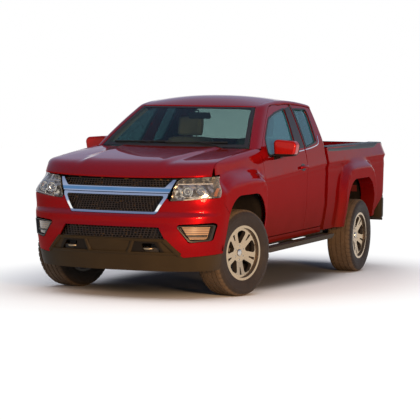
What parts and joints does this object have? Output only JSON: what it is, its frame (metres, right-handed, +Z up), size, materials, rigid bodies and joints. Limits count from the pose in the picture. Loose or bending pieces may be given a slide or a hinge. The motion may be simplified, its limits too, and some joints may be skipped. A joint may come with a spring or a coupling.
{
  "type": "pickup truck",
  "caption": "Extended cab pickup truck with an open load bed, hinged doors, hood and tailgate, steered front wheels and black side steps.",
  "frame": {"origin": "on the ground under the centre of the bounding box", "axes": "the front faces -Y, +X is the truck's left side, +Z is up"},
  "size_m": [2.142, 5.4026, 1.7977],
  "materials": {
    "paint": "deep metallic red, clear coated",
    "black_plastic": "moulded black, fine grain",
    "cabin_plastic": "soft dark grey",
    "chrome": "polished",
    "lamp_lens": "clear lens",
    "red_lens": "red lens",
    "glass": "tinted",
    "alloy": "polished",
    "tyre_rubber": "matte",
    "chassis_black": "black frame wax",
    "cast_metal": "rough cast",
    "radiator_metal": "fine fins",
    "exhaust_steel": "dull steel",
    "seat_cloth": "woven"
  },
  "bodies": {
    "chassis": {"roof": "paint", "cab_sides": "paint", "cab_back": "paint", "fenders": "paint", "front_bumper": "paint", "bed_sides": "paint", "bed_floor": "paint", "cab_floor": "paint", "front_valance": "black_plastic", "cowl": "black_plastic", "grille_mesh": "black_plastic", "side_steps": "black_plastic", "rear_bumper": "black_plastic", "dashboard": "cabin_plastic", "grille_bar": "chrome", "front_lamps": "lamp_lens", "tail_lamps": "red_lens", "cab_glass": "glass", "spare_wheel": "tyre_rubber", "frame": "chassis_black", "front_suspension": "chassis_black", "rear_axle": "chassis_black", "leaf_springs": "chassis_black", "driveshaft": "chassis_black", "fuel_tank": "chassis_black", "bumper_beam": "chassis_black", "engine": "cast_metal", "radiator": "radiator_metal", "exhaust": "exhaust_steel", "seats": "seat_cloth"},
    "knuckle_left": {"knuckle_left": "cast_metal"},
    "knuckle_right": {"knuckle_right": "cast_metal"},
    "wheel_front_left": {"rim_front_left": "alloy", "tyre_front_left": "tyre_rubber"},
    "wheel_front_right": {"rim_front_right": "alloy", "tyre_front_right": "tyre_rubber"},
    "wheel_rear_left": {"rim_rear_left": "alloy", "tyre_rear_left": "tyre_rubber"},
    "wheel_rear_right": {"rim_rear_right": "alloy", "tyre_rear_right": "tyre_rubber"},
    "front_door_left_body": {"front_door_left": "paint", "front_glass_left": "glass", "mirror_left": "paint"},
    "front_door_right_body": {"front_door_right": "paint", "front_glass_right": "glass", "mirror_right": "paint"},
    "rear_door_left_body": {"rear_door_left": "paint", "rear_glass_left": "glass"},
    "rear_door_right_body": {"rear_door_right": "paint", "rear_glass_right": "glass"},
    "hood_body": {"hood": "paint"},
    "tailgate_body": {"tailgate": "paint"},
    "steering_wheel_body": {"steering_wheel": "cabin_plastic"}
  },
  "joints": [
    {"name": "steer_left", "type": "hinge", "parent": "chassis", "child": "knuckle_left", "pos_m": [0.7, -1.7824, 0.38], "axis": [0, 0, 1], "range_deg": [-18.5, 51.5]},
    {"name": "spin_front_left", "type": "hinge", "parent": "knuckle_left", "child": "wheel_front_left", "pos_m": [0.78869, -1.80867, 0.38], "axis": [0.9588, -0.284, 0], "continuous": true},
    {"name": "steer_right", "type": "hinge", "parent": "chassis", "child": "knuckle_right", "pos_m": [-0.7, -1.7824, 0.38], "axis": [0, 0, 1], "range_deg": [-18.5, 51.5]},
    {"name": "spin_front_right", "type": "hinge", "parent": "knuckle_right", "child": "wheel_front_right", "pos_m": [-0.78869, -1.75613, 0.38], "axis": [0.9588, -0.284, 0], "continuous": true},
    {"name": "spin_rear_left", "type": "hinge", "parent": "chassis", "child": "wheel_rear_left", "pos_m": [0.7925, 1.4756, 0.38], "axis": [1, 0, 0], "continuous": true},
    {"name": "spin_rear_right", "type": "hinge", "parent": "chassis", "child": "wheel_rear_right", "pos_m": [-0.7925, 1.4756, 0.38], "axis": [1, 0, 0], "continuous": true},
    {"name": "front_door_left_hinge", "type": "hinge", "parent": "chassis", "child": "front_door_left_body", "pos_m": [0.853, -1.22914, 0.91566], "axis": [0, 0.0279, -0.9996], "range_deg": [0, 66]},
    {"name": "rear_door_left_hinge", "type": "hinge", "parent": "chassis", "child": "rear_door_left_body", "pos_m": [0.853, 0.38023, 0.96061], "axis": [0, -0.0279, 0.9996], "range_deg": [0, 85]},
    {"name": "front_door_right_hinge", "type": "hinge", "parent": "chassis", "child": "front_door_right_body", "pos_m": [-0.853, -1.22914, 0.91566], "axis": [0, -0.0279, 0.9996], "range_deg": [0, 66]},
    {"name": "rear_door_right_hinge", "type": "hinge", "parent": "chassis", "child": "rear_door_right_body", "pos_m": [-0.853, 0.38023, 0.96061], "axis": [0, 0.0279, -0.9996], "range_deg": [0, 85]},
    {"name": "hood_hinge", "type": "hinge", "parent": "chassis", "child": "hood_body", "pos_m": [0, -1.37192, 1.26381], "axis": [-1, 0, 0], "range_deg": [0, 50]},
    {"name": "tailgate_hinge", "type": "hinge", "parent": "chassis", "child": "tailgate_body", "pos_m": [0, 2.5473, 0.88109], "axis": [-1, 0, 0], "range_deg": [0, 90]},
    {"name": "steering_turn", "type": "hinge", "parent": "chassis", "child": "steering_wheel_body", "pos_m": [0.372, -0.81219, 1.10237], "axis": [0, 0.9018, 0.4321], "range_deg": [-296.5, 824.5]}
  ],
  "couplings": [
    {"joint": "steer_right", "follows": "steer_left", "ratio": 1},
    {"joint": "steering_turn", "follows": "steer_left", "ratio": 16}
  ]
}
